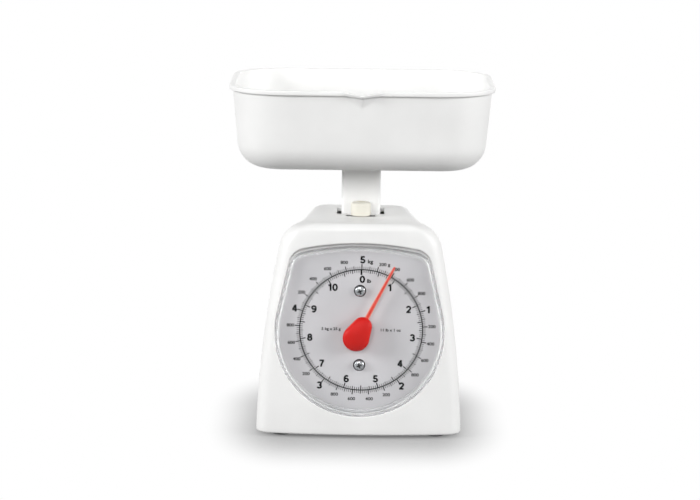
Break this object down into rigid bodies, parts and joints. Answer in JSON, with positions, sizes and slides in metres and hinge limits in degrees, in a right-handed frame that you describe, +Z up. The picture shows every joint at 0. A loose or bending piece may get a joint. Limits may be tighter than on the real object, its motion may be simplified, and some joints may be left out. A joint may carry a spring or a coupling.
{
  "type": "platform scale",
  "caption": "Mechanical spring scale with a removable rectangular weighing pan on a sinking post, a tapered housing, a large round dial behind a clear cover and a zero knob.",
  "frame": {"origin": "on the floor under the middle of the overall box", "axes": "+Z up, -Y out of the dial towards the reader, +X to the reader's right"},
  "size_m": [0.171, 0.1357, 0.2265],
  "materials": {
    "white_plastic": "white moulded plastic, satin gloss",
    "cream_plastic": "cream moulded plastic, satin gloss",
    "red_plastic": "red moulded plastic, glossy",
    "dial_print": "pale grey sheet with printed black scales",
    "clear_cover": "clear moulded plastic window",
    "black_rubber": "black rubber",
    "bright_steel": "bright plated steel",
    "plated_steel": "zinc-plated steel sheet, pins and screws",
    "brass": "plain brass"
  },
  "bodies": {
    "root": {"housing": "white_plastic", "base_plate": "white_plastic", "foot_1": "black_rubber", "foot_2": "black_rubber", "foot_3": "black_rubber", "foot_4": "black_rubber", "base_screw_1": "plated_steel", "base_screw_2": "plated_steel", "base_screw_3": "plated_steel", "base_screw_4": "plated_steel", "overload_stop": "black_rubber", "dial_cover": "clear_cover", "dial_plate": "dial_print", "upper_dial_screw": "bright_steel", "lower_dial_screw": "bright_steel", "chassis": "plated_steel", "chassis_screw_1": "plated_steel", "chassis_screw_2": "plated_steel", "chassis_screw_3": "plated_steel", "chassis_screw_4": "plated_steel", "front_bush": "brass", "rear_bush": "brass", "upper_rear_pin": "plated_steel", "lower_rear_pin": "plated_steel", "main_spring": "bright_steel"},
    "platform": {"carrier": "plated_steel", "post": "white_plastic", "post_screw": "plated_steel", "rack": "brass", "rack_screw_1": "plated_steel", "rack_screw_2": "plated_steel", "upper_front_pin": "plated_steel", "lower_front_pin": "plated_steel"},
    "pan": {"pan": "white_plastic"},
    "pointer": {"pointer": "red_plastic", "pointer_shaft": "bright_steel", "pinion": "brass"},
    "upper_arm": {"upper_arm": "plated_steel"},
    "lower_arm": {"lower_arm": "plated_steel"},
    "zero_knob": {"zero_knob": "cream_plastic", "zero_screw": "plated_steel", "screw_clip": "plated_steel"},
    "hanger": {"spring_hanger": "brass"}
  },
  "joints": [
    {"name": "platform_slide", "type": "slide", "parent": "root", "child": "platform", "axis": [0, 0, -1], "range_m": [-0.0012, 0.01451], "stiffness_N_per_m": 3123, "springref_m": -0.00075, "deforming": ["main_spring"]},
    {"name": "pan_lift", "type": "slide", "parent": "platform", "child": "pan", "axis": [0, 0, 1], "range_m": [0, 0.03]},
    {"name": "pointer_turn", "type": "hinge", "parent": "root", "child": "pointer", "pos_m": [0, -0.044, 0.0695], "axis": [0, 1, 0], "range_deg": [-27.6, 332.6]},
    {"name": "upper_arm_swing", "type": "hinge", "parent": "root", "child": "upper_arm", "pos_m": [0, 0.0299, 0.09735], "axis": [1, 0, 0], "range_deg": [-2.4, 29]},
    {"name": "lower_arm_swing", "type": "hinge", "parent": "root", "child": "lower_arm", "pos_m": [0, 0.0299, 0.03935], "axis": [1, 0, 0], "range_deg": [-2.4, 29]},
    {"name": "zero_knob_turn", "type": "hinge", "parent": "root", "child": "zero_knob", "pos_m": [0, -0.0176, 0.145], "axis": [0, 0, 1], "range_deg": [-360, 360]},
    {"name": "hanger_slide", "type": "slide", "parent": "root", "child": "hanger", "axis": [0, 0, 1], "range_m": [-0.001, 0.001]}
  ],
  "couplings": [
    {"joint": "pointer_turn", "follows": "platform_slide", "rad_per_m": 400},
    {"joint": "upper_arm_swing", "follows": "platform_slide", "rad_per_m": 34.821},
    {"joint": "lower_arm_swing", "follows": "platform_slide", "rad_per_m": 34.821},
    {"joint": "zero_knob_turn", "follows": "hanger_slide", "rad_per_m": 6283}
  ]
}
